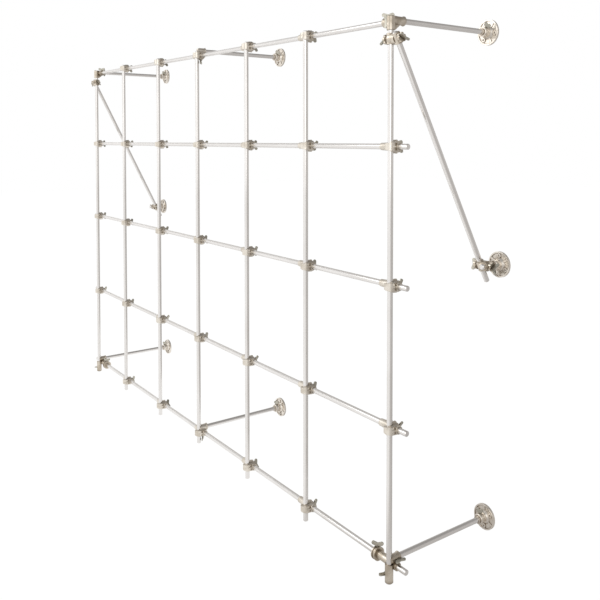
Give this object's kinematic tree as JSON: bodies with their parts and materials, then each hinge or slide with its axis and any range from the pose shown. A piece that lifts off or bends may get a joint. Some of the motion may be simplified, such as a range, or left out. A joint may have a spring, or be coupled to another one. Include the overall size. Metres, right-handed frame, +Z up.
{
  "type": "laboratory lattice frame",
  "caption": "Wall-mounted lattice of crossing bright rods held by cast hook connectors, with standoff rods, braces and round wall flanges, for clamping apparatus",
  "frame": {"origin": "on the wall plane, at the back of the middle foot flange", "axes": "X along the lattice to its right end seen from the front, Y into the wall, Z up"},
  "size_m": [1.972, 0.3311, 1.292],
  "materials": {
    "rod_steel": "bright drawn and lightly polished",
    "clamp_casting": "nickel plated casting, satin, darker in its recesses",
    "flange_casting": "nickel plated casting, satin",
    "screw_steel": "nickel plated, satin"
  },
  "bodies": {
    "root": {"brace_left": "rod_steel", "brace_left_flange": "flange_casting", "brace_lower_jaw_left": "clamp_casting", "brace_lower_jaw_right": "clamp_casting", "brace_right": "rod_steel", "brace_right_flange": "flange_casting", "brace_stub_left": "rod_steel", "brace_stub_right": "rod_steel", "brace_upper_jaw_left": "clamp_casting", "brace_upper_jaw_right": "clamp_casting", "casting_wing_screws": "screw_steel", "flange_wing_screws": "screw_steel", "foot_corner_left": "clamp_casting", "foot_corner_right": "clamp_casting", "foot_left_flange": "flange_casting", "foot_left_standoff": "rod_steel", "foot_middle_flange": "flange_casting", "foot_middle_standoff": "rod_steel", "foot_right_flange": "flange_casting", "foot_right_standoff": "rod_steel", "foot_tee": "clamp_casting", "hook_connectors_row_1": "clamp_casting", "hook_connectors_row_2": "clamp_casting", "hook_connectors_row_3": "clamp_casting", "hook_connectors_row_4": "clamp_casting", "hook_connectors_row_5": "clamp_casting", "hook_wing_screws_row_1": "screw_steel", "hook_wing_screws_row_2": "screw_steel", "hook_wing_screws_row_3": "screw_steel", "hook_wing_screws_row_4": "screw_steel", "hook_wing_screws_row_5": "screw_steel", "level_rod_1": "rod_steel", "level_rod_2": "rod_steel", "level_rod_3": "rod_steel", "level_rod_4": "rod_steel", "level_rod_5": "rod_steel", "stub_jaw_left": "clamp_casting", "stub_jaw_right": "clamp_casting", "swivel_pins": "screw_steel", "swivel_wing_screws": "screw_steel", "top_corner_left": "clamp_casting", "top_corner_right": "clamp_casting", "top_left_flange": "flange_casting", "top_left_standoff": "rod_steel", "top_middle_flange": "flange_casting", "top_middle_standoff": "rod_steel", "top_right_flange": "flange_casting", "top_right_standoff": "rod_steel", "top_tee": "clamp_casting", "upright_jaw_left": "clamp_casting", "upright_jaw_right": "clamp_casting", "upright_rod_1": "rod_steel", "upright_rod_2": "rod_steel", "upright_rod_3": "rod_steel", "upright_rod_4": "rod_steel", "upright_rod_5": "rod_steel", "upright_rod_6": "rod_steel", "upright_rod_7": "rod_steel"}
  },
  "joints": []
}
